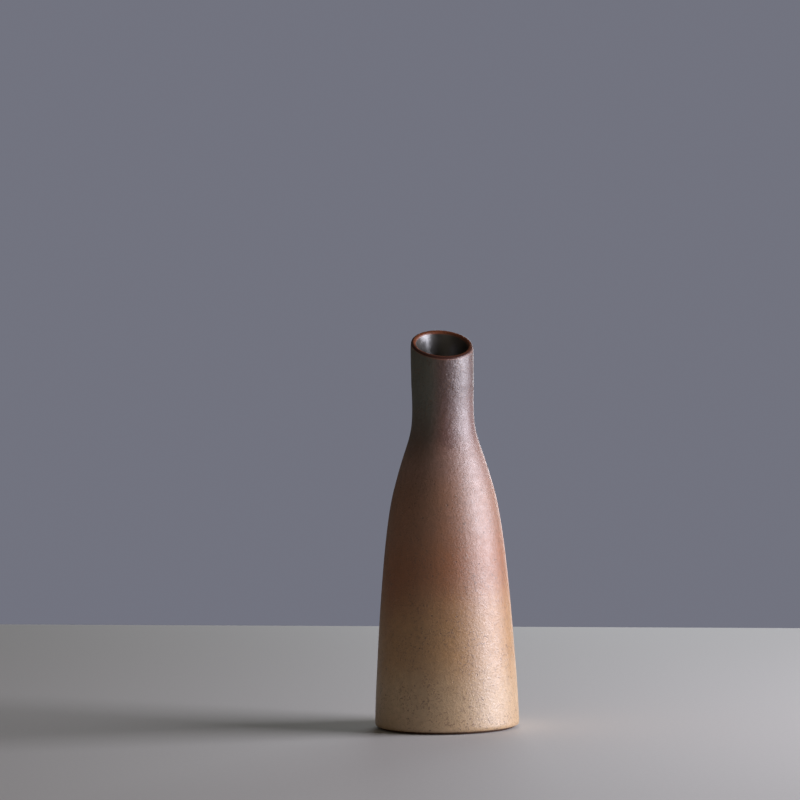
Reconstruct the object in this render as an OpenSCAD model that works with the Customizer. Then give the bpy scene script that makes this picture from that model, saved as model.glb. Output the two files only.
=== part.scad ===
// Ceramic bud vase: a bottle-shaped stoneware body made in one piece, with a slanted mouth.
// The fired clay carries two coats of glaze: a shaded one outside and a dark one inside.
// The foot stands on the XY plane with its centre at the origin, +Z runs up the neck,
// and the low side of the mouth faces -Y. All sizes are in millimetres.

/* [Body] */
// Height from the table to the high side of the lip
height = 200; // [196:1:215]
// Widest diameter of the clay, just above the foot
belly_d = 72; // [68:0.2:76]
// How far the wall leans in just above the foot, in degrees
foot_lean = 3; // [1:0.5:4]
// Diameter of the clay at the shoulder, where the outline turns from full to hollow
shoulder_d = 49.4; // [46:0.2:54]
// Height of the shoulder
shoulder_h = 120; // [114:1:126]
// How far the wall leans in at the shoulder, in degrees
shoulder_lean = 15; // [12:0.5:18]

/* [Neck] */
// Narrowest diameter of the clay, at the bottom of the neck
neck_d = 29.8; // [28:0.2:33]
// Height at which the neck is narrowest
neck_h = 162; // [158:1:166]
// Diameter of the clay at the lip
lip_d = 31; // [30:0.1:34]
// Slant of the mouth, in degrees from level
mouth_slant = 25; // [10:0.5:26]

/* [Wall] */
// Thickness of the clay at the lip
lip_wall = 2.2; // [1.8:0.1:2.6]
// Thickness of the clay in the neck
neck_wall = 3; // [2.4:0.1:3.6]
// Thickness of the clay at the shoulder
shoulder_wall = 3.6; // [3:0.1:4.5]
// Thickness of the clay above the foot
belly_wall = 4.2; // [3.5:0.1:6]
// Thickness of the floor at its middle
floor_t = 5; // [4:0.5:8]
// Radius where the floor runs up into the wall
floor_round = 12; // [8:1:16]

/* [Foot] */
// Radius of the rounded edge under the wall
foot_round = 3.5; // [2.5:0.1:4.5]
// Width of the flat ring that the vase stands on
foot_ring_w = 6; // [4:0.5:9]
// Depth of the hollow turned into the base
foot_hollow = 1.6; // [1:0.1:2.5]

/* [Glaze] */
// Thickness of the shaded glaze outside
glaze_t = 0.35; // [0.2:0.05:0.5]
// Thickness of the dark liner inside
liner_t = 0.3; // [0.2:0.05:0.5]
// Height at which the glaze is wiped off the foot
foot_bare = 1.2; // [0.8:0.1:2]
// Width of bare clay below the crown of the lip, outside and inside
lip_bare = 0.8; // [0.8:0.1:2]

/* [Hidden] */
$fn = 128;

// Points along each stretch of the outline
body_steps = 24;
neck_steps = 14;
flare_steps = 6;
round_steps = 8;

// Lengths of the curves' handles, which set how full each stretch is
belly_handle = 84;
shoulder_handle = 10;
hollow_handle = 27;
neck_handle = 18;

// The lip's crown is round. It follows a slanted plane that meets the axis at mouth_h,
// and crown_lift is what the roundness adds at the high side.
slope = tan(mouth_slant);
crown_r = (lip_d - lip_wall) / 2;
crown_round = 0.58 * lip_wall;
crown_lift = crown_round * (sqrt(1 + slope * slope) - 1);
mouth_h = height - slope * crown_r - crown_lift;
// The neck is straight from here up, which is a little below the low side of the mouth
straight_h = mouth_h - slope * lip_d / 2 - 4;
stock_h = height + 10;

floor_h = foot_hollow + floor_t;
foot_centre = [belly_d / 2 - foot_round, foot_round];
stand_r = foot_centre.x;

function leaning(angle) = [-sin(angle), cos(angle)];
function at_angle(angle) = [cos(angle), sin(angle)];

function bezier(a, b, c, d, steps) = [
    for (i = [0:steps])
        let (t = i / steps, s = 1 - t)
            s * s * s * a + 3 * s * s * t * b + 3 * s * t * t * c + t * t * t * d
];

function arc(centre, radius, first, last, steps) = [
    for (i = [0:steps]) centre + radius * at_angle(first + (last - first) * i / steps)
];

function without_first(points) = [for (i = [1:len(points) - 1]) points[i]];
function backwards(points) = [for (i = [len(points) - 1:-1:0]) points[i]];

// The vase's side from above the foot to the top of the neck, as radius and height.
// Each value says how far inside the clay's outer face the side lies at that level.
function side(belly_in, shoulder_in, neck_in, lip_in) =
    let (
        bottom = foot_centre + (foot_round - belly_in) * at_angle(foot_lean),
        shoulder = [shoulder_d / 2 - shoulder_in, shoulder_h],
        neck = [neck_d / 2 - neck_in, neck_h],
        lip = [lip_d / 2 - lip_in, straight_h],
        flare = (straight_h - neck_h) / 2
    )
    concat(
        bezier(bottom, bottom + belly_handle * leaning(foot_lean),
               shoulder - shoulder_handle * leaning(shoulder_lean), shoulder, body_steps),
        without_first(bezier(shoulder, shoulder + hollow_handle * leaning(shoulder_lean),
                             neck - [0, neck_handle], neck, neck_steps)),
        without_first(bezier(neck, neck + [0, flare], lip - [0, flare], lip, flare_steps)),
        [[lip.x, stock_h]]
    );

// The outer face of the clay, or of a coat that is laid on it
function outside(coat, lowest_angle) = concat(
    arc(foot_centre, foot_round + coat, lowest_angle, foot_lean, round_steps),
    without_first(side(-coat, -coat, -coat, -coat))
);

// The face of the cavity, or of a coat that lines it, from the axis outwards and up
function cavity(coat) =
    let (
        wall = side(belly_wall + coat, shoulder_wall + coat, neck_wall + coat, lip_wall + coat),
        corner_h = floor_h + floor_round,
        corner_r = lookup(corner_h, [for (p = wall) [p.y, p.x]])
    )
    concat(
        [[0, floor_h + coat]],
        arc([corner_r - floor_round + coat, corner_h], floor_round - coat, -90, 0, round_steps),
        [for (p = wall) if (p.y > corner_h) p]
    );

// Slides a shape up in step with y, which slants it and keeps its outline round from above
module slanted() {
    translate([0, 0, mouth_h])
        multmatrix([[1, 0, 0, 0], [0, 1, 0, 0], [0, slope, 1, 0], [0, 0, 0, 1]])
            children();
}

// What is cut away above a round-crowned lip
module above_lip() {
    slanted() rotate_extrude() difference() {
        translate([0, -crown_round]) square([lip_d, stock_h - mouth_h + slope * lip_d]);
        translate([crown_r, -crown_round]) circle(r = crown_round);
    }
}

// What is cut away above a coat that ends short of the lip
module above_coat() {
    slanted() translate([-lip_d, -lip_d, -lip_bare])
        cube([2 * lip_d, 2 * lip_d, stock_h - mouth_h + slope * lip_d]);
}

// Fired stoneware: wall, floor, foot ring and the bare lip
module clay_body() {
    base = [
        [0, foot_hollow],
        [stand_r - foot_ring_w - foot_hollow, foot_hollow],
        [stand_r - foot_ring_w, 0]
    ];
    color("#a3654a")
        difference() {
            rotate_extrude() polygon(concat(base, outside(0, -90), backwards(cavity(0))));
            above_lip();
        }
}

// Satin glaze over the outside, wiped clean at the foot and worn off the lip
module outer_glaze() {
    wiped = -asin((foot_round - foot_bare) / foot_round);
    color("#b08a72")
        difference() {
            rotate_extrude() polygon(concat(outside(glaze_t, wiped), backwards(outside(0, wiped))));
            above_coat();
        }
}

// Dark glaze that makes the cavity watertight
module liner_glaze() {
    color("#3a302c")
        difference() {
            rotate_extrude() polygon(concat(cavity(0), backwards(cavity(liner_t))));
            above_coat();
        }
}

clay_body();
outer_glaze();
liner_glaze();
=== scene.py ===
"""Looks of a ceramic bud vase: clay body, satin outer glaze, dark satin liner and a plain studio."""

import math

import bpy
from bpy.props import FloatProperty, FloatVectorProperty, IntProperty, PointerProperty
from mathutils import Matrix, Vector


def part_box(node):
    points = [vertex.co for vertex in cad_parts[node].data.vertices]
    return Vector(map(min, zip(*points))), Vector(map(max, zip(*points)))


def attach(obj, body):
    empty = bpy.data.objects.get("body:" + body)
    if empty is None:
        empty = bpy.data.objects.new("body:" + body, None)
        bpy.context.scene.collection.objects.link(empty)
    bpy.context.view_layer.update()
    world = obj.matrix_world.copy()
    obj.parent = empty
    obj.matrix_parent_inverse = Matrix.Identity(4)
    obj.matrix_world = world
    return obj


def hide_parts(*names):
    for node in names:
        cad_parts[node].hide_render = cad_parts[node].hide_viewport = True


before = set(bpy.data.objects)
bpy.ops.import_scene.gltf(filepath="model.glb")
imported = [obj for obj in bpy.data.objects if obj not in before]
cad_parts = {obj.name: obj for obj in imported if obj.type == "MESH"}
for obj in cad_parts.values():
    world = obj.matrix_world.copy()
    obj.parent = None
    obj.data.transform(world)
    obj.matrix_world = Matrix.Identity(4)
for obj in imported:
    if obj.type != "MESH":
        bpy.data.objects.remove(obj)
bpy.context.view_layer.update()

bl_info = {
    "name": "Ceramic bud vase",
    "version": (1, 0, 0),
    "blender": (4, 5, 0),
    "location": "View3D > Sidebar > Vase",
    "description": "Makes a glazed bud vase with a slanted mouth, and a studio to see it in",
    "category": "Add Mesh",
}

CLAY_LOW, CLAY_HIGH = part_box("clay_body")

# Lengths of the curves' handles, which set how full each stretch of the wall is
BELLY_HANDLE = 0.084
SHOULDER_HANDLE = 0.010
HOLLOW_HANDLE = 0.027
NECK_HANDLE = 0.018
# The neck's flare ends this far below the middle of the mouth
FLARE_BELOW_MOUTH = 0.011
# The rings start to slant this far below the neck's narrowest place, and have the mouth's own
# slant from this far below its middle
SLANT_BELOW_NECK = 0.004
SLANT_BELOW_MOUTH = 0.007
# Radius of the lip's crown as a share of its wall, which makes it flatter than a half circle
CROWN_SHARE = 0.58

# Swells of the uneven wall, and how far they keep from the foot and run past the neck
SWELL_SIZE = 0.045
SWELLS_FROM = 0.010
SWELLS_PAST_NECK = 0.012


# Properties


def length(name, default, description):
    """A size in metres."""
    return FloatProperty(
        name=name, description=description, default=default, unit="LENGTH", precision=5
    )


def angle(name, degrees, description):
    """An angle, given in degrees and kept in radians."""
    return FloatProperty(
        name=name, description=description, default=math.radians(degrees), subtype="ANGLE"
    )


def colour(name, default, description):
    """A colour in linear light."""
    return FloatVectorProperty(
        name=name, description=description, default=default, subtype="COLOR", min=0, max=1
    )


def power(name, default, description):
    """The power of a light, in watts."""
    return FloatProperty(name=name, description=description, default=default, unit="POWER")


class VaseShape(bpy.types.PropertyGroup):
    """Sizes of the clay and of the two glaze coats."""

    height: length("Height", CLAY_HIGH[2], "Table to the high side of the lip")
    belly_width: length("Belly width", CLAY_HIGH[0] - CLAY_LOW[0], "Widest diameter of the clay")
    foot_lean: angle("Foot lean", 3, "How far the wall leans in just above the foot")
    shoulder_width: length("Shoulder width", 0.0494, "Diameter where the outline turns hollow")
    shoulder_height: length("Shoulder height", 0.120, "Height of the shoulder")
    shoulder_lean: angle("Shoulder lean", 15, "How far the wall leans in at the shoulder")
    neck_width: length("Neck width", 0.0298, "Narrowest diameter of the clay")
    neck_height: length("Neck height", 0.162, "Height at which the neck is narrowest")
    lip_width: length("Lip width", 0.031, "Diameter of the clay at the lip")
    mouth_slant: angle("Mouth slant", 25, "Slant of the mouth from level")
    lip_wall: length("Lip wall", 0.0022, "Thickness of the clay at the lip")
    neck_wall: length("Neck wall", 0.003, "Thickness of the clay in the neck")
    shoulder_wall: length("Shoulder wall", 0.0036, "Thickness of the clay at the shoulder")
    belly_wall: length("Belly wall", 0.0042, "Thickness of the clay above the foot")
    floor_wall: length("Floor", 0.005, "Thickness of the floor")
    floor_round: length("Floor rounding", 0.012, "Radius where the floor runs into the wall")
    foot_round: length("Foot rounding", 0.0035, "Radius of the rounded edge under the wall")
    foot_ring: length("Foot ring", 0.006, "Width of the flat ring that the vase stands on")
    foot_hollow: length("Foot hollow", 0.0016, "Depth of the hollow under the base")
    glaze: length("Outer glaze", 0.00035, "Thickness of the satin coat")
    liner: length("Liner", 0.0003, "Thickness of the dark coat inside")
    foot_bare: length("Bare foot", 0.0012, "Height at which the glaze is wiped off the foot")
    lip_bare: length("Bare lip", 0.0008, "Depth of bare clay below the crown of the lip")
    dent: length("Dents", 0.0003, "Depth of the slow unevenness of a hand-finished wall")
    sides: IntProperty(
        name="Sides", description="Corners of a cage ring before smoothing", default=64, min=16
    )


class VaseColours(bpy.types.PropertyGroup):
    """Colours of the clay and the glazes, with painted shade on the neck's left and under the foot.
    """

    sand: colour("Sand", (0.480, 0.318, 0.172), "Glaze at the foot")
    honey: colour("Honey", (0.390, 0.208, 0.080), "Glaze above the sand")
    rust: colour("Rust", (0.280, 0.098, 0.030), "Glaze in the lower middle")
    cocoa: colour("Cocoa", (0.270, 0.118, 0.060), "Glaze in the upper middle")
    umber: colour("Umber", (0.248, 0.125, 0.086), "Glaze on the slope up to the neck")
    bronze: colour("Bronze", (0.125, 0.048, 0.034), "Glaze low on the neck")
    ebony: colour("Ebony", (0.060, 0.019, 0.013), "Glaze near the lip")
    # Painted shade: the grey-green that the shaded left of the neck shows, laid into the glaze's
    # colour
    painted_shade_grey: colour("Moss", (0.095, 0.096, 0.078), "Grey-green cast on one side of the neck")
    speck: colour("Speck", (0.135, 0.060, 0.024), "Fine brown grain in the glaze")
    iron: colour("Iron", (0.070, 0.029, 0.012), "Larger iron flecks in the glaze")
    lip_rust: colour("Lip rust", (0.20, 0.058, 0.022), "Iron red where the glaze thins at the lip")
    # Painted shade: the clay's brown is made darker so that the bare foot also stands in for the
    # shadow in the narrow gap under it
    clay: colour("Clay", (0.17, 0.085, 0.05), "Bare fired clay")
    liner: colour("Liner", (0.024, 0.021, 0.018), "Dark glaze inside")


class VaseStudio(bpy.types.PropertyGroup):
    """Camera, lights and floor."""

    camera_distance: length("Camera distance", 1.51, "Camera to the vase's axis")
    camera_height: length("Camera height", 0.175, "Camera above the floor")
    camera_turn: angle("Camera turn", -10, "Camera's place round the vase, from its front")
    camera_roll: angle("Camera roll", 0.8, "Tilt of the picture")
    lens: FloatProperty(
        name="Lens", description="Focal length", default=135, unit="CAMERA"
    )
    aim_height: length("Aim height", 0.1649, "Height that the camera looks at")
    aim_side: length("Aim side", 0.0215, "How far to the left of the vase the camera looks")
    key_power: power("Key light", 20, "Power of the large soft light")
    key_turn: angle("Key turn", 81, "Key light's place, from the camera towards the right")
    key_distance: length("Key distance", 1.0, "Key light to the vase")
    key_width: length("Key width", 0.8, "Width of the key light")
    key_height: length("Key height", 0.7, "Height of the key light")
    light_height: length("Light height", 0.35, "Middle of the lights above the floor")
    lit_height: length("Lit height", 0.1, "Height on the vase that the lights face")
    key_tint: colour("Key tint", (0.90, 0.89, 1.0), "Colour of the large soft light")
    front_power: power("Front light", 1.1, "Power of the weak light in front")
    front_turn: angle("Front turn", -20, "Front light's place, from the camera towards the right")
    front_distance: length("Front distance", 1.5, "Front light to the vase")
    front_width: length("Front width", 1.4, "Width of the front light")
    front_height: length("Front height", 1.4, "Height of the front light")
    front_tint: colour("Front tint", (1.0, 0.87, 0.68), "Colour of the front light")
    back_power: power("Back light", 9, "Power of the soft light behind")
    back_turn: angle("Back turn", 168, "Back light's place, from the camera towards the right")
    back_distance: length("Back distance", 1.5, "Back light to the vase")
    back_width: length("Back width", 0.8, "Width of the back light")
    back_height: length("Back height", 0.8, "Height of the back light")
    back_tint: colour("Back tint", (0.88, 0.94, 1.0), "Colour of the back light")
    sky: colour("Sky", (0.168, 0.173, 0.214), "Colour of the backdrop")
    fill: colour("Fill", (0.060, 0.055, 0.048), "Light that comes from all round")
    floor: colour("Floor", (0.54, 0.525, 0.50), "Colour of the floor")
    floor_size: length("Floor size", 1.2, "Side of the square floor")
    floor_turn: angle("Floor turn", -22, "How far the floor is turned under the vase")


# Outline, as radius and height


def leaning(turn):
    """The upward direction of a wall that leans in by this angle."""
    return Vector((-math.sin(turn), math.cos(turn)))


def at_angle(turn):
    """The direction at this angle from level."""
    return Vector((math.cos(turn), math.sin(turn)))


def sweep(start, start_handle, end_handle, end, steps):
    """Points along a cubic curve, both ends included."""
    points = []
    for step in range(steps + 1):
        t = step / steps
        s = 1 - t
        points.append(
            s**3 * start + 3 * s * s * t * start_handle + 3 * s * t * t * end_handle + t**3 * end
        )
    return points


def arc(centre, radius, first, last, steps):
    """Points along a round corner, both ends included."""
    return [
        centre + radius * at_angle(first + (last - first) * step / steps)
        for step in range(steps + 1)
    ]


def crown_radius(shape):
    """Radius of the ring that runs along the middle of the lip."""
    return (shape.lip_width - shape.lip_wall) / 2


def crown_rounding(shape):
    """Radius of the round over the lip."""
    return CROWN_SHARE * shape.lip_wall


def mouth_height(shape):
    """Height at which the mouth's slanted plane meets the axis."""
    slope = math.tan(shape.mouth_slant)
    crown_lift = crown_rounding(shape) * (math.hypot(1, slope) - 1)
    return shape.height - slope * crown_radius(shape) - crown_lift


def foot_centre(shape):
    """Centre of the rounded edge under the wall."""
    return Vector((shape.belly_width / 2 - shape.foot_round, shape.foot_round))


def wall(shape, insets, steps):
    """The side from above the foot to the top of the flare. Insets say how far inside the clay's
    outer face it lies at the belly, the shoulder, the neck and the lip."""
    belly_in, shoulder_in, neck_in, lip_in = insets
    body_steps, hollow_steps, flare_steps = steps
    bottom = foot_centre(shape) + (shape.foot_round - belly_in) * at_angle(shape.foot_lean)
    shoulder = Vector((shape.shoulder_width / 2 - shoulder_in, shape.shoulder_height))
    neck = Vector((shape.neck_width / 2 - neck_in, shape.neck_height))
    lip = Vector((shape.lip_width / 2 - lip_in, mouth_height(shape) - FLARE_BELOW_MOUTH))
    flare = Vector((0, (lip.y - neck.y) / 2))
    body = sweep(
        bottom,
        bottom + BELLY_HANDLE * leaning(shape.foot_lean),
        shoulder - SHOULDER_HANDLE * leaning(shape.shoulder_lean),
        shoulder,
        body_steps,
    )
    hollow = sweep(
        shoulder,
        shoulder + HOLLOW_HANDLE * leaning(shape.shoulder_lean),
        neck - Vector((0, NECK_HANDLE)),
        neck,
        hollow_steps,
    )
    return body + hollow[1:] + sweep(neck, neck + flare, lip - flare, lip, flare_steps)[1:]


def slope_at(shape, height):
    """How steeply a ring slants at this height on the axis: level up to the neck, and then more
    and more, up to the mouth's own slant."""
    start = shape.neck_height - SLANT_BELOW_NECK
    end = mouth_height(shape) - SLANT_BELOW_MOUTH
    t = min(max((height - start) / (end - start), 0), 1)
    return math.tan(shape.mouth_slant) * t * t * (3 - 2 * t)


# Modelling


def spin_rings(name, points, shape, capped):
    """Draws a closed cage ring by ring: a circle, then each ring extruded, sized and slanted.
    A capped cage gets a grid across each end, and any other is joined end to end."""
    sides = shape.sides
    # Smoothing draws a ring in from its corners, so the cage is this much wider
    widen = 3 / (2 + math.cos(2 * math.pi / sides))
    radius, height = points[0]
    slant = 0
    bpy.ops.object.select_all(action="DESELECT")
    bpy.ops.mesh.primitive_circle_add(
        vertices=sides, radius=radius * widen, location=(0, 0, height), fill_type="NOTHING"
    )
    piece = bpy.context.object
    piece.name = name
    piece.data.name = name
    bpy.ops.object.transform_apply(location=True, rotation=True, scale=True)
    bpy.ops.object.mode_set(mode="EDIT")
    bpy.ops.mesh.select_mode(type="EDGE")
    bpy.ops.mesh.select_all(action="SELECT")
    for next_radius, next_height in points[1:]:
        next_slant = math.atan(slope_at(shape, next_height))
        centre = (0, 0, next_height)
        grow = next_radius / radius
        stretch = grow * math.cos(slant) / math.cos(next_slant)
        bpy.ops.mesh.extrude_edges_move(
            TRANSFORM_OT_translate={"value": (0, 0, next_height - height)}
        )
        # Without a window the operator turns clockwise for a positive angle
        bpy.ops.transform.rotate(
            value=slant - next_slant, orient_axis="X", orient_type="GLOBAL", center_override=centre
        )
        bpy.ops.transform.resize(
            value=(grow, stretch, stretch), orient_type="GLOBAL", center_override=centre
        )
        radius, height, slant = next_radius, next_height, next_slant
    quarter = sides // 4
    if capped:
        bpy.ops.mesh.fill_grid(span=quarter)
    bpy.ops.mesh.select_all(action="DESELECT")
    bpy.ops.mesh.select_non_manifold(
        extend=False, use_wire=False, use_multi_face=False, use_non_contiguous=False,
        use_verts=False,
    )
    if capped:
        bpy.ops.mesh.fill_grid(span=quarter)
    else:
        bpy.ops.mesh.bridge_edge_loops()
    bpy.ops.mesh.select_all(action="SELECT")
    bpy.ops.mesh.normals_make_consistent(inside=False)
    bpy.ops.object.mode_set(mode="OBJECT")
    return piece


def smooth_cage(piece, levels=2):
    """Rounds the cage into the finished surface."""
    modifier = piece.modifiers.new("Smooth", "SUBSURF")
    modifier.levels = levels
    modifier.render_levels = levels
    bpy.ops.object.modifier_apply(modifier=modifier.name)
    bpy.ops.object.shade_smooth()


def dent(piece, group, size, depth):
    """Pushes the vertices of a group out unevenly, in soft swells of this size."""
    texture = bpy.data.textures.new(piece.name + "_swells", type="CLOUDS")
    texture.noise_scale = size
    texture.noise_depth = 1
    modifier = piece.modifiers.new("Swells", "DISPLACE")
    modifier.texture = texture
    modifier.texture_coords = "LOCAL"
    modifier.vertex_group = group
    modifier.strength = depth
    modifier.mid_level = 0
    bpy.ops.object.modifier_apply(modifier=modifier.name)


def group_where(piece, name, inside):
    """Puts the vertices that pass a test into a vertex group."""
    chosen = [vertex.index for vertex in piece.data.vertices if inside(vertex.co)]
    piece.vertex_groups.new(name=name).add(chosen, 1, "REPLACE")


def clay_points(shape):
    """The clay's closed outline: under the base, round the foot, up, over the lip and down."""
    stand = foot_centre(shape).x
    ring_in = stand - shape.foot_ring
    hollow = shape.foot_hollow
    # Every other ring under the base stands up a little, as a turning tool leaves it
    first_ring, ring_gap, ring_depth = 0.007, 0.003, 0.00012
    points = [
        Vector((first_ring + ring_gap * step, hollow + ring_depth * (step % 2)))
        for step in range(6)
    ]
    # Down the hollow's slope and over the flat ring, with its corners a little softened
    points += [
        Vector((ring_in - hollow - 0.0006, hollow)),
        Vector((ring_in - hollow + 0.0002, hollow - 0.0002)),
        Vector((ring_in - 0.0004, 0.0006)),
        Vector((ring_in + 0.0001, 0.0001)),
        Vector((ring_in + 0.0010, 0)),
        Vector((ring_in + 0.0030, 0)),
        Vector((stand - 0.0006, 0)),
    ]
    points += arc(foot_centre(shape), shape.foot_round, -math.pi / 2, shape.foot_lean, 8)
    points += wall(shape, (0, 0, 0, 0), (8, 6, 2))[1:]
    crown = Vector((crown_radius(shape), mouth_height(shape) - crown_rounding(shape)))
    corner = math.acos(shape.lip_wall / 2 / crown_rounding(shape))
    reach = Vector((shape.lip_wall / 2, 0))
    points += [crown + reach - Vector((0, drop)) for drop in (0.006, 0.003, 0.001, 0)]
    points += arc(crown, crown_rounding(shape), corner, math.pi - corner, 6)
    points += [crown - reach - Vector((0, drop)) for drop in (0, 0.001, 0.003, 0.006)]
    return points + cavity_points(shape, 0, (8, 6, 2))[::-1]


def cavity_points(shape, coat, steps):
    """The face of the cavity, or of a coat that lines it, from the middle of the floor up."""
    insets = (shape.belly_wall, shape.shoulder_wall, shape.neck_wall, shape.lip_wall)
    side = wall(shape, [inset + coat for inset in insets], steps)
    floor = shape.foot_hollow + shape.floor_wall
    corner_height = floor + shape.floor_round
    above = [point for point in side if point.y > corner_height + 0.002]
    bottom = side[0]
    corner_out = bottom.x + (above[0].x - bottom.x) * (corner_height - bottom.y) / (
        above[0].y - bottom.y
    )
    corner = Vector((corner_out - shape.floor_round + coat, corner_height))
    return (
        [Vector((0.007, floor + coat)), Vector((0.013, floor + coat))]
        + arc(corner, shape.floor_round - coat, -math.pi / 2, 0, 6)
        + above
    )


def glaze_points(shape):
    """The outer coat's closed outline: up its outer face, over its thin edge and down the clay."""
    coat = shape.glaze
    centre = foot_centre(shape)
    wiped = -math.asin((shape.foot_round - shape.foot_bare) / shape.foot_round)
    # The coat starts thin where it was wiped, rolls up into a bead and settles
    bead = [(0, 0.15), (4, 0.9), (10, 1.3), (18, 1.2), (27, 1)]
    points = [
        centre + (shape.foot_round + coat * thick) * at_angle(wiped + math.radians(along))
        for along, thick in bead
    ]
    points += wall(shape, (-coat, -coat, -coat, -coat), (16, 10, 4))
    top = mouth_height(shape) - shape.lip_bare
    lip = shape.lip_width / 2
    thinning = [(0.0065, 1), (0.0040, 1), (0.0022, 0.85), (0.0010, 0.6), (0.0003, 0.35), (0, 0.1)]
    points += [Vector((lip + coat * thick, top - drop)) for drop, thick in thinning]
    points += [Vector((lip, top - drop)) for drop in (0.0004, 0.004)]
    return points + wall(shape, (0, 0, 0, 0), (8, 6, 2))[::-1]


def liner_points(shape):
    """The liner's closed outline: up the clay, over its thin edge and down its own face."""
    coat = shape.liner
    top = mouth_height(shape) - shape.lip_bare
    lip = shape.lip_width / 2 - shape.lip_wall
    thinning = [(0, 0.1), (0.0003, 0.4), (0.0010, 0.7), (0.0022, 0.9), (0.0040, 1), (0.0065, 1)]
    return (
        cavity_points(shape, 0, (8, 6, 2))
        + [Vector((lip, top - drop)) for drop in (0.004, 0.0004)]
        + [Vector((lip - coat * thick, top - drop)) for drop, thick in thinning]
        + cavity_points(shape, coat, (12, 8, 3))[::-1]
    )


# Materials

GLAZE_IOR = 1.6
# Heights between which the glaze goes from the body's finish to the neck's
NECK_FINISH_FROM, NECK_FINISH_TO = 0.115, 0.150
# Heights between which the foot's glossier finish gives way to the body's
FOOT_FINISH_TO, BODY_FINISH_FROM = 0.035, 0.080
# Depths below the mouth between which a coat is full, and so thin that iron red shows
FULL_BELOW, THIN_ABOVE = 0.0016, 0.0008
# Depths below the mouth between which the clay is bare body, and rubbed lip
BODY_BELOW, RUBBED_ABOVE = 0.012, 0.008
MIX_SHARE, MIX_FIRST, MIX_SECOND, MIX_RESULT = 0, 6, 7, 2


def add(tree, kind, inputs=None, **settings):
    """Adds a shader node. An input given as a socket is joined, and any other is set."""
    made = tree.nodes.new("ShaderNode" + kind)
    for name, value in settings.items():
        setattr(made, name, value)
    for name, value in (inputs or {}).items():
        if isinstance(value, bpy.types.NodeSocket):
            tree.links.new(value, made.inputs[name])
        else:
            made.inputs[name].default_value = value
    return made


def math_of(tree, operation, first, second=0.0):
    """A sum, product or other operation on two numbers."""
    return add(tree, "Math", {0: first, 1: second}, operation=operation).outputs[0]


def clouds(tree, place, size, detail=2.0, roughness=0.5):
    """Soft noise from 0 to 1, with swells about this size."""
    inputs = {"Vector": place, "Scale": 1 / size, "Detail": detail, "Roughness": roughness}
    return add(tree, "TexNoise", inputs).outputs["Fac"]


def fade(tree, value, start, end, low=0.0, high=1.0):
    """Runs softly from low to high as the value goes from start to end."""
    inputs = {"Value": value, "From Min": start, "From Max": end, "To Min": low, "To Max": high}
    return add(tree, "MapRange", inputs, interpolation_type="SMOOTHSTEP").outputs["Result"]


def blend(tree, amount, first, second, mode="MIX"):
    """Mixes two colours."""
    inputs = {MIX_SHARE: amount, MIX_FIRST: first, MIX_SECOND: second}
    return add(tree, "Mix", inputs, data_type="RGBA", blend_type=mode).outputs[MIX_RESULT]


def opaque(tint):
    """A colour with full alpha."""
    return (*tint, 1)


def spots(tree, place, size, radius, keep):
    """Round spots on a grid of this size. A radius is a share of the grid's size, and keep is the
    share of the spots that shows."""
    cells = add(tree, "TexVoronoi", {"Vector": place, "Scale": 1 / size})
    near = fade(tree, cells.outputs["Distance"], radius, radius * 0.4)
    chance = add(tree, "SeparateColor", {0: cells.outputs["Color"]}).outputs["Red"]
    return math_of(tree, "MULTIPLY", near, math_of(tree, "LESS_THAN", chance, keep))


def relief(tree, height, depth, normal=None):
    """A bump of this depth, laid over another one."""
    inputs = {"Height": height, "Distance": depth, "Strength": 1.0}
    if normal:
        inputs["Normal"] = normal
    return add(tree, "Bump", inputs).outputs["Normal"]


def along(tree, place, direction):
    """How far a point lies along a direction."""
    return add(tree, "VectorMath", {0: place, 1: direction}, operation="DOT_PRODUCT").outputs["Value"]


def below_lip(tree, place, shape):
    """How far below the mouth's slanted plane a point lies, measured straight down."""
    depth = along(tree, place, (0, math.tan(shape.mouth_slant), -1))
    return math_of(tree, "ADD", depth, mouth_height(shape))


def new_material(name, **settings):
    """An empty material with its principled shader, and the object's own coordinates."""
    material = bpy.data.materials.new(name)
    material.use_nodes = True
    tree = material.node_tree
    skin = tree.nodes["Principled BSDF"]
    for socket, value in settings.items():
        skin.inputs[socket].default_value = value
    return material, tree, skin, add(tree, "TexCoord").outputs["Object"]


def sum_of(tree, *values):
    """Several numbers added up."""
    total = values[0]
    for value in values[1:]:
        total = math_of(tree, "ADD", total, value)
    return total


def colour_bands(tree, level, stops):
    """A colour that runs softly through the stops, each a level and a colour."""
    bands = add(tree, "ValToRGB", {"Fac": level})
    bands.color_ramp.interpolation = "EASE"
    elements = bands.color_ramp.elements
    while len(elements) < len(stops):
        elements.new(1)
    for element, (position, tint) in zip(elements, stops):
        element.position = position
        element.color = opaque(tint)
    return bands.outputs["Color"]


def spray_and_shade_level(tree, place, shape):
    """Height as a share of the vase's. The bands of colour sit lower on the left, the side away from
    the key light, which paints shade there, and a little lower in front;
    their edges wander, as they do when a glaze is sprayed by hand."""
    height = add(tree, "SeparateXYZ", {0: place}).outputs["Z"]
    # Painted shade: the darker bands reach lower on the left, away from the key light
    painted_shade_tilt = along(tree, place, (-0.10, -0.05, 0))
    wander = math_of(tree, "MULTIPLY", clouds(tree, place, 0.045, 3), 0.032)
    stray = math_of(tree, "MULTIPLY", clouds(tree, place, 0.006, 3), 0.008)
    middle_of_swings = 0.020
    level = math_of(tree, "SUBTRACT", sum_of(tree, height, painted_shade_tilt, wander, stray), middle_of_swings)
    return math_of(tree, "DIVIDE", level, shape.height)


def ragged(tree, place, size, reach):
    """The place, pushed about a little, which makes round spots ragged."""
    push = add(tree, "TexNoise", {"Vector": place, "Scale": 1 / size, "Detail": 2.0})
    push = add(tree, "VectorMath", {0: push.outputs["Color"], "Scale": reach}, operation="SCALE")
    return add(tree, "VectorMath", {0: place, 1: push.outputs["Vector"]}).outputs["Vector"]


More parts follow.
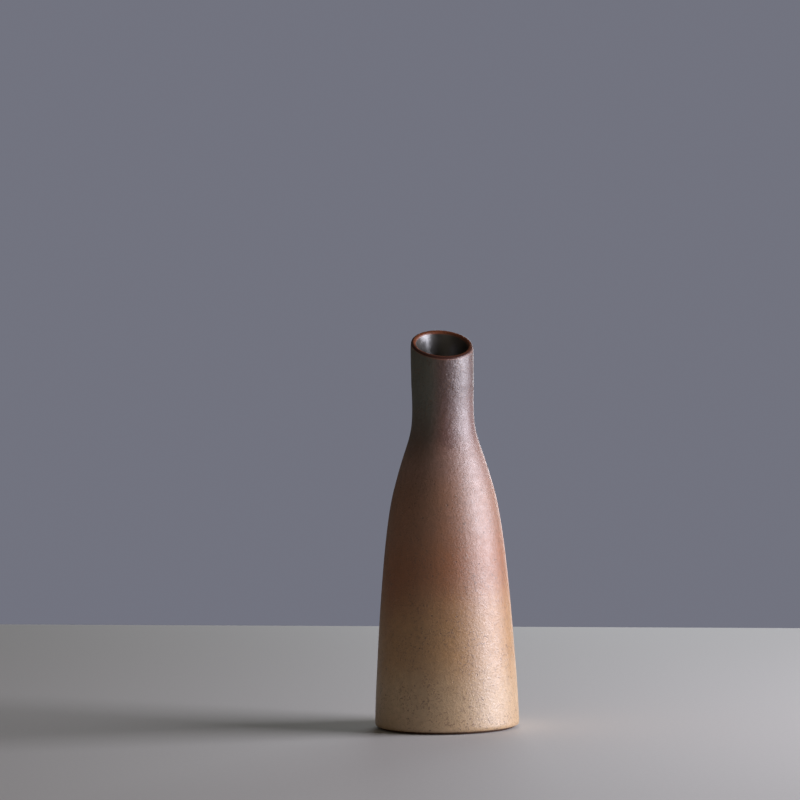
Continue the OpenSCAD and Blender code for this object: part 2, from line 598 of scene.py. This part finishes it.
def neck_painted_shade(tree, place, height):
    """How much painted shade shows on the neck: a grey-green on its left, the side away from the key
    light, most in front and less towards the back.
    """
    shaded_side = fade(tree, along(tree, place, (-0.98, 0.17, 0)), 0.0, 0.008)
    in_front = fade(tree, along(tree, place, (0, 1, 0)), 0.002, 0.012, 1, 0.3)
    cast = math_of(tree, "MULTIPLY", shaded_side, fade(tree, height, 0.125, 0.170))
    return math_of(tree, "MULTIPLY", cast, in_front)


def glaze_roughness(tree, place, height):
    """Roughness of the outer glaze: glossier at the foot, and uneven all over."""
    above_foot = fade(tree, height, FOOT_FINISH_TO, BODY_FINISH_FROM, 0.41, 0.45)
    on_neck = fade(tree, height, NECK_FINISH_FROM, NECK_FINISH_TO, 0, 0.01)
    uneven = fade(tree, clouds(tree, place, 0.004, 3), 0.3, 0.7, 0, 0.08)
    return sum_of(tree, above_foot, on_neck, uneven)


def glaze_relief(tree, place, height, grain, flecks):
    """Orange peel that is stronger on the neck, with grain over it and a pit at each fleck."""
    stronger_on_neck = fade(tree, height, NECK_FINISH_FROM, NECK_FINISH_TO, 0.7, 2.4)
    peel_size, peel_depth, grain_depth, pit_depth = 0.0024, 0.00010, 0.00019, 0.00008
    lumps = math_of(tree, "MULTIPLY", clouds(tree, place, peel_size, 2), stronger_on_neck)
    peel = relief(tree, lumps, peel_depth)
    gritty = relief(tree, grain, grain_depth, peel)
    return relief(tree, math_of(tree, "SUBTRACT", 1.0, flecks), pit_depth, gritty)


def outer_glaze_material(shape, colours):
    """Satin glaze that shades upwards from sand through rust and cocoa to a dark neck, with painted
    grey-green shade on the neck's left, away from the key light, iron specks, and rust where it thins
    at the lip."""
    material, tree, skin, place = new_material(
        "satin_sprayed_glaze", **{"Specular IOR Level": 1.0, "IOR": GLAZE_IOR}
    )
    height = add(tree, "SeparateXYZ", {0: place}).outputs["Z"]
    stops = [
        (0.08, colours.sand),
        (0.21, colours.honey),
        (0.42, colours.rust),
        (0.56, colours.cocoa),
        (0.665, colours.umber),
        (0.77, colours.bronze),
        (0.88, colours.ebony),
    ]
    base = colour_bands(tree, spray_and_shade_level(tree, place, shape), stops)
    # Painted shade: grey-green laid on the neck's left, the side away from the key light
    base = blend(tree, neck_painted_shade(tree, place, height), base, opaque(colours.painted_shade_grey))
    mottle = fade(tree, clouds(tree, place, 0.0022, 4), 0.35, 0.70)
    mottle_strength, fleck_strength = 0.16, 0.75
    lighter = math_of(tree, "MULTIPLY", mottle, mottle_strength)
    base = blend(tree, lighter, base, opaque((1, 1, 1)), "OVERLAY")

    grain = clouds(tree, place, 0.0011, 4, 0.75)
    crumbs = fade(tree, grain, 0.54, 0.61)
    patches = fade(tree, clouds(tree, place, 0.012, 3), 0.35, 0.6, 0.25, 0.8)
    base = blend(tree, math_of(tree, "MULTIPLY", crumbs, patches), base, opaque(colours.speck))
    flecks = spots(tree, ragged(tree, place, 0.0010, 0.0007), 0.0030, 0.18, 0.30)
    iron = math_of(tree, "MULTIPLY", flecks, fleck_strength)
    base = blend(tree, iron, base, opaque(colours.iron))
    thin = fade(tree, below_lip(tree, place, shape), FULL_BELOW, THIN_ABOVE)
    base = blend(tree, thin, base, opaque(colours.lip_rust))

    tree.links.new(base, skin.inputs["Base Color"])
    tree.links.new(glaze_roughness(tree, place, height), skin.inputs["Roughness"])
    tree.links.new(glaze_relief(tree, place, height, grain, flecks), skin.inputs["Normal"])
    return material


def clay_material(shape, colours):
    """Fired stoneware: grainy and matte, and rubbed smooth with an iron film along the lip."""
    material, tree, skin, place = new_material("fired_stoneware")
    grain = clouds(tree, place, 0.0009, 4)
    dull, full = opaque((0.62, 0.6, 0.58)), opaque((1, 1, 1))
    shade = blend(tree, fade(tree, grain, 0.35, 0.65), dull, full)
    # Bare clay, darker than its own brown so that the foot paints the shade of the gap under it
    body = blend(tree, 1.0, opaque(colours.clay), shade, "MULTIPLY")
    film = blend(tree, 1.0, opaque(colours.lip_rust), shade, "MULTIPLY")
    flat = add(tree, "VectorMath", {0: place, 1: (1, 1, 0)}, operation="MULTIPLY").outputs["Vector"]
    out = add(tree, "VectorMath", {0: flat}, operation="LENGTH").outputs["Value"]
    middle = crown_radius(shape)
    glazed = fade(tree, out, middle - 0.0001, middle + 0.0005)
    film = blend(tree, glazed, film, opaque(colours.ebony))
    at_lip = fade(tree, below_lip(tree, place, shape), BODY_BELOW, RUBBED_ABOVE)
    base = blend(tree, at_lip, body, film)
    grog = spots(tree, place, 0.0026, 0.22, 0.6)
    base = blend(tree, math_of(tree, "MULTIPLY", grog, 0.6), base, opaque(colours.speck))
    tree.links.new(base, skin.inputs["Base Color"])
    tree.links.new(fade(tree, at_lip, 0, 1, 0.82, 0.42), skin.inputs["Roughness"])
    tree.links.new(relief(tree, grain, 0.00008), skin.inputs["Normal"])
    return material


def liner_material(shape, colours):
    """Dark satin glaze that breaks to iron red where it thins at the lip."""
    material, tree, skin, place = new_material("dark_satin_liner", **{"Specular IOR Level": 1.0})
    thin = fade(tree, below_lip(tree, place, shape), FULL_BELOW, THIN_ABOVE)
    pool = fade(tree, clouds(tree, place, 0.008, 3), 0.35, 0.65)
    red, green, blue = colours.liner
    paler_and_warmer = (red * 1.6, green * 1.6, blue * 1.5, 1)
    deep = blend(tree, pool, opaque(colours.liner), paler_and_warmer)
    tree.links.new(blend(tree, thin, deep, opaque(colours.lip_rust)), skin.inputs["Base Color"])
    tree.links.new(fade(tree, pool, 0, 1, 0.30, 0.40), skin.inputs["Roughness"])
    tree.links.new(relief(tree, clouds(tree, place, 0.005, 1), 0.00015), skin.inputs["Normal"])
    return material


def finish_piece(piece, material, node):
    """Gives a piece its material and ties it to the frame."""
    piece.data.materials.clear()
    piece.data.materials.append(material)
    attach(piece, "root")
    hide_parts(node)


# Operators


class VASE_OT_clay_body(bpy.types.Operator):
    """Make the fired clay body with its foot ring and bare lip"""

    bl_idname = "vase.clay_body"
    bl_label = "Clay body"

    def execute(self, context):
        shape = context.scene.vase_shape
        piece = spin_rings("stoneware_body", clay_points(shape), shape, capped=True)
        smooth_cage(piece)
        material = clay_material(shape, context.scene.vase_colours)
        finish_piece(piece, material, "clay_body")
        return {"FINISHED"}


class VASE_OT_outer_glaze(bpy.types.Operator):
    """Lay the satin glaze over the outside of the clay"""

    bl_idname = "vase.outer_glaze"
    bl_label = "Outer glaze"

    def execute(self, context):
        shape = context.scene.vase_shape
        piece = spin_rings("satin_glaze_coat", glaze_points(shape), shape, capped=False)
        highest = shape.neck_height + SWELLS_PAST_NECK
        half_coat = shape.glaze / 2
        outline = wall(shape, (-half_coat, -half_coat, -half_coat, -half_coat), (40, 20, 6))

        def on_outer_face(place):
            if not SWELLS_FROM < place.z < highest:
                return False
            above = next(point for point in outline if point.y >= place.z)
            return math.hypot(place.x, place.y) > above.x

        group_where(piece, "open_wall", on_outer_face)
        smooth_cage(piece)
        dent(piece, "open_wall", SWELL_SIZE, shape.dent)
        material = outer_glaze_material(shape, context.scene.vase_colours)
        finish_piece(piece, material, "outer_glaze")
        return {"FINISHED"}


class VASE_OT_liner(bpy.types.Operator):
    """Pour the dark liner inside the clay"""

    bl_idname = "vase.liner"
    bl_label = "Liner"

    def execute(self, context):
        shape = context.scene.vase_shape
        piece = spin_rings("satin_liner_coat", liner_points(shape), shape, capped=True)
        smooth_cage(piece)
        material = liner_material(shape, context.scene.vase_colours)
        finish_piece(piece, material, "liner_glaze")
        return {"FINISHED"}


class VASE_OT_studio(bpy.types.Operator):
    """Set up the floor, the soft light and the camera"""

    bl_idname = "vase.studio"
    bl_label = "Studio"

    def execute(self, context):
        studio = context.scene.vase_studio
        make_floor(studio)
        make_sky(context.scene, studio)
        for name in ("key", "front", "back"):
            make_soft_light(context.scene, studio, name)
        make_camera(context.scene, studio)
        return {"FINISHED"}


def make_floor(studio):
    """A large pale floor."""
    bpy.ops.object.select_all(action="DESELECT")
    bpy.ops.mesh.primitive_plane_add(size=studio.floor_size, rotation=(0, 0, studio.floor_turn))
    floor = bpy.context.object
    floor.name = "studio_floor"
    bpy.ops.object.transform_apply(location=True, rotation=True, scale=True)
    material, tree, skin, place = new_material(
        "pale_floor", **{"Roughness": 0.8, "Specular IOR Level": 0.1}
    )
    paper = fade(tree, clouds(tree, place, 0.002, 3), 0.3, 0.7)
    pale = opaque(studio.floor)
    darker = opaque([part * 0.97 for part in studio.floor])
    tree.links.new(blend(tree, paper, darker, pale), skin.inputs["Base Color"])
    floor.data.materials.append(material)


def make_sky(scene, studio):
    """An even backdrop that also fills the shadows."""
    world = bpy.data.worlds.new("studio_sky")
    world.use_nodes = True
    tree = world.node_tree
    seen = add(tree, "LightPath").outputs["Is Camera Ray"]
    shade = blend(tree, seen, opaque(studio.fill), opaque(studio.sky))
    tree.links.new(shade, tree.nodes["Background"].inputs["Color"])
    scene.world = world
    scene.view_settings.view_transform = "Standard"


def around(turn, distance, height):
    """A place round the vase, turned from its front towards +X."""
    return Vector((math.sin(turn) * distance, -math.cos(turn) * distance, height))


def make_soft_light(scene, studio, name):
    """An area light that faces the middle of the vase, as the studio's values of its name say."""
    width, height, power, turn, distance, tint = (
        getattr(studio, name + "_" + value)
        for value in ("width", "height", "power", "turn", "distance", "tint")
    )
    lamp = bpy.data.lights.new(name + "_light", "AREA")
    lamp.shape = "RECTANGLE"
    lamp.size, lamp.size_y = width, height
    lamp.energy = power
    lamp.color = tint
    light = bpy.data.objects.new(name + "_light", lamp)
    light.location = around(studio.camera_turn + turn, distance, studio.light_height)
    middle = Vector((0, 0, studio.lit_height))
    light.rotation_euler = (middle - light.location).to_track_quat("-Z", "Y").to_euler()
    scene.collection.objects.link(light)


def make_camera(scene, studio):
    """The camera, a little above the table and to the left of the vase's front."""
    lens = bpy.data.cameras.new("camera")
    lens.lens = studio.lens
    camera = bpy.data.objects.new("camera", lens)
    camera.location = around(studio.camera_turn, studio.camera_distance, studio.camera_height)
    left = Vector((-math.cos(studio.camera_turn), -math.sin(studio.camera_turn), 0))
    target = left * studio.aim_side + Vector((0, 0, studio.aim_height))
    camera.rotation_euler = (target - camera.location).to_track_quat("-Z", "Y").to_euler()
    camera.rotation_euler.rotate_axis("Z", -studio.camera_roll)
    scene.collection.objects.link(camera)
    scene.camera = camera


# Panel


class VIEW3D_PT_vase(bpy.types.Panel):
    """Lists the vase's pieces and the studio"""

    bl_label = "Bud vase"
    bl_space_type = "VIEW_3D"
    bl_region_type = "UI"
    bl_category = "Vase"

    def draw(self, context):
        for made in MAKERS:
            self.layout.operator(made.bl_idname)
        for group in ("vase_shape", "vase_colours", "vase_studio"):
            values = getattr(context.scene, group)
            box = self.layout.box()
            for name in values.bl_rna.properties.keys():
                if name not in ("rna_type", "name"):
                    box.prop(values, name)


MAKERS = (VASE_OT_studio, VASE_OT_clay_body, VASE_OT_outer_glaze, VASE_OT_liner)
GROUPS = {"vase_shape": VaseShape, "vase_colours": VaseColours, "vase_studio": VaseStudio}


def register():
    """Adds the properties, the operators and the panel to Blender."""
    for name, group in GROUPS.items():
        bpy.utils.register_class(group)
        setattr(bpy.types.Scene, name, PointerProperty(type=group))
    for made in (*MAKERS, VIEW3D_PT_vase):
        bpy.utils.register_class(made)


def unregister():
    """Takes them out again."""
    for made in (VIEW3D_PT_vase, *reversed(MAKERS)):
        bpy.utils.unregister_class(made)
    for name, group in GROUPS.items():
        delattr(bpy.types.Scene, name)
        bpy.utils.unregister_class(group)


def main():
    """Makes the studio and the vase."""
    register()
    bpy.ops.vase.studio()
    bpy.ops.vase.clay_body()
    bpy.ops.vase.outer_glaze()
    bpy.ops.vase.liner()


if __name__ == "__main__":
    main()
